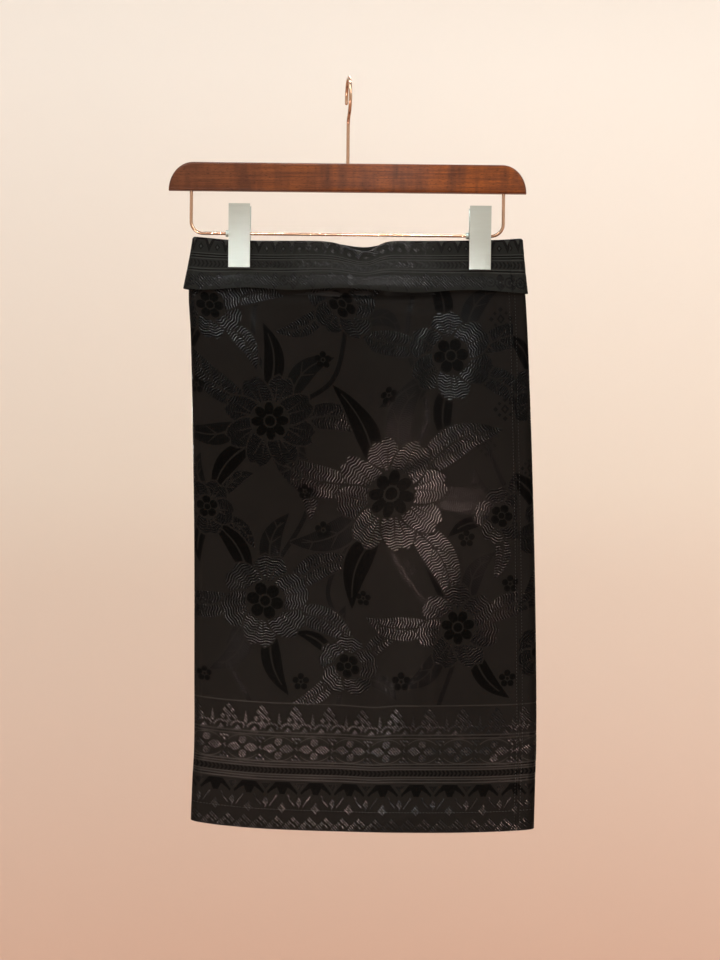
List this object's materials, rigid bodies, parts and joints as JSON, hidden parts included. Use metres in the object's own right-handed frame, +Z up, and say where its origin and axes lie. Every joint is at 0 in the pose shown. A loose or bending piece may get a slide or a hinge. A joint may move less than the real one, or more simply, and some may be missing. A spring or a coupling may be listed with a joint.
{
  "type": "sampin on a clip hanger",
  "caption": "Flat tubular waist cloth with a folded waistband and patterned border, hung by spring clips from a wooden bar hanger.",
  "frame": {"origin": "where the crown of the hook rests on the rod that carries it", "axes": "+Z up, the garment hangs down along -Z; +X to the right of someone facing the front; the front faces -Y"},
  "size_m": [0.3674, 0.043, 0.7546],
  "materials": {
    "cloth": "black satin jacquard",
    "band_cloth": "black satin jacquard",
    "wood": "satin varnish",
    "wire": "polished rose gold plating",
    "clip_metal": "pale satin nickel",
    "pad_rubber": "matt"
  },
  "bodies": {
    "root": {"body_front": "cloth", "body_back": "cloth", "waistband_front": "band_cloth", "waistband_back": "band_cloth", "hanger_bar": "wood", "hanger_hook": "wire", "clip_rail": "wire", "clip_left_front": "clip_metal", "clip_left_back": "clip_metal", "clip_left_spring": "clip_metal", "clip_left_collar": "clip_metal", "clip_left_pad_front": "pad_rubber", "clip_left_pad_back": "pad_rubber", "clip_right_front": "clip_metal", "clip_right_back": "clip_metal", "clip_right_spring": "clip_metal", "clip_right_collar": "clip_metal", "clip_right_pad_front": "pad_rubber", "clip_right_pad_back": "pad_rubber"}
  },
  "joints": []
}
